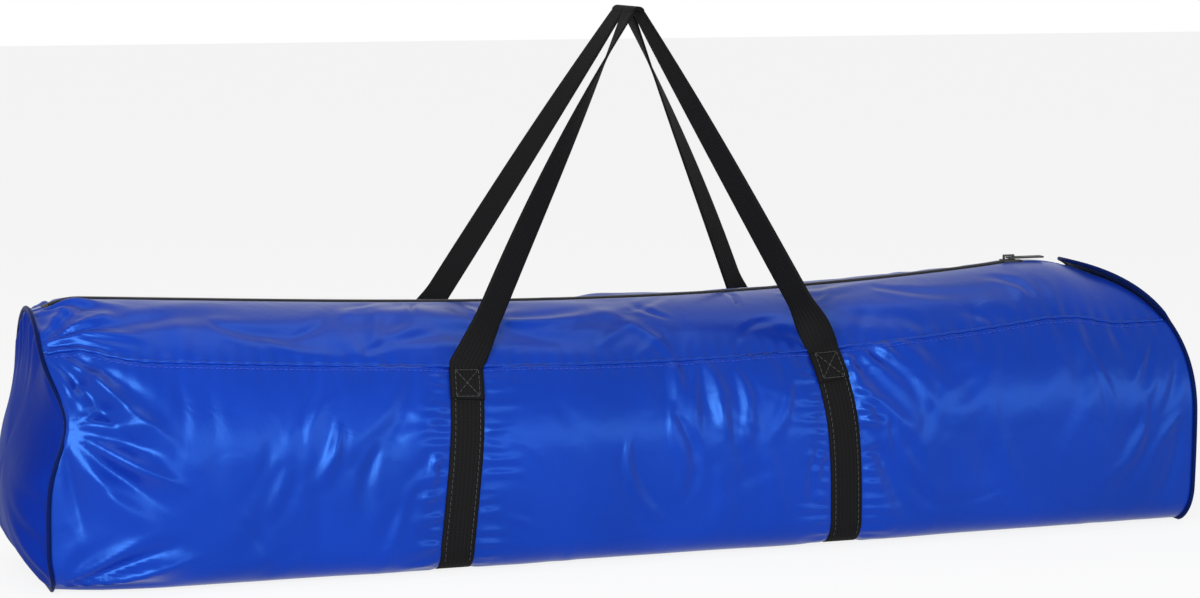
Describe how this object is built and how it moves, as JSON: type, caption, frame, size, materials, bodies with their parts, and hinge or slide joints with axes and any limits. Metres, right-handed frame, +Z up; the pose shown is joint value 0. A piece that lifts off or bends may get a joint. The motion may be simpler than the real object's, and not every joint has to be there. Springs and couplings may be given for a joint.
{
  "type": "agility tunnel in carry bag",
  "caption": "Spiral-wire agility tunnel squeezed flat and packed in its long zipped carry bag with webbing bands and handles.",
  "frame": {"origin": "middle of the bag's underside", "axes": "+X along the bag towards the slumped end, -Y towards the front, +Z up to the handles"},
  "size_m": [0.92, 0.1936, 0.4125],
  "materials": {
    "bag_fabric": "blue satin polyester with a thin waterproof coating",
    "end_fabric": "the same blue satin on the two ends",
    "piping": "dark blue bound edges",
    "binding": "black binding tape",
    "webbing": "black ribbed polypropylene webbing",
    "zip_tape": "black twill zip tape",
    "zip_coil": "black nylon coil",
    "zip_metal": "black enamelled metal",
    "wire": "spring steel wire",
    "tunnel_fabric": "coated polyester tunnel fabric",
    "moulded": "black moulded plastic"
  },
  "bodies": {
    "bag": {"main_panel": "bag_fabric", "front_top_panel": "bag_fabric", "rear_top_panel": "bag_fabric", "left_end_panel": "end_fabric", "right_end_panel": "end_fabric", "left_end_piping": "piping", "right_end_piping": "piping", "front_seam_binding": "binding", "rear_seam_binding": "binding", "left_band": "webbing", "right_band": "webbing", "zip_tape_front": "zip_tape", "zip_tape_rear": "zip_tape", "zip_coil_front": "zip_coil", "zip_coil_rear": "zip_coil", "zip_stops": "zip_metal", "zip_end_tab_left": "piping", "zip_end_tab_right": "piping", "tunnel_wire": "wire", "wire_end_caps": "moulded", "tunnel_cover": "tunnel_fabric", "mouth_binding_front": "binding", "mouth_binding_rear": "binding", "tie_strap_left": "webbing", "tie_strap_right": "webbing", "tie_buckle_left": "moulded", "tie_buckle_right": "moulded", "peg_loops": "webbing", "peg_pouch": "tunnel_fabric", "ground_pegs": "wire"},
    "front_handle": {"front_handle": "webbing"},
    "rear_handle": {"rear_handle": "webbing"},
    "zip_slider": {"zip_slider": "zip_metal"},
    "zip_pull": {"zip_pull": "zip_metal"}
  },
  "joints": [
    {"name": "front_handle_swing", "type": "hinge", "parent": "bag", "child": "front_handle", "pos_m": [0, -0.07423, 0.16943], "axis": [1, 0, 0], "range_deg": [0, 148]},
    {"name": "rear_handle_swing", "type": "hinge", "parent": "bag", "child": "rear_handle", "pos_m": [0, 0.07423, 0.16943], "axis": [-1, 0, 0], "range_deg": [0, 148]},
    {"name": "zip_slider_travel", "type": "slide", "parent": "bag", "child": "zip_slider", "axis": [-1, 0, 0], "range_m": [0, 0.774]},
    {"name": "zip_pull_swing", "type": "hinge", "parent": "zip_slider", "child": "zip_pull", "pos_m": [0.3397, 0, 0.2097], "axis": [0, -1, 0], "range_deg": [0, 180]}
  ]
}
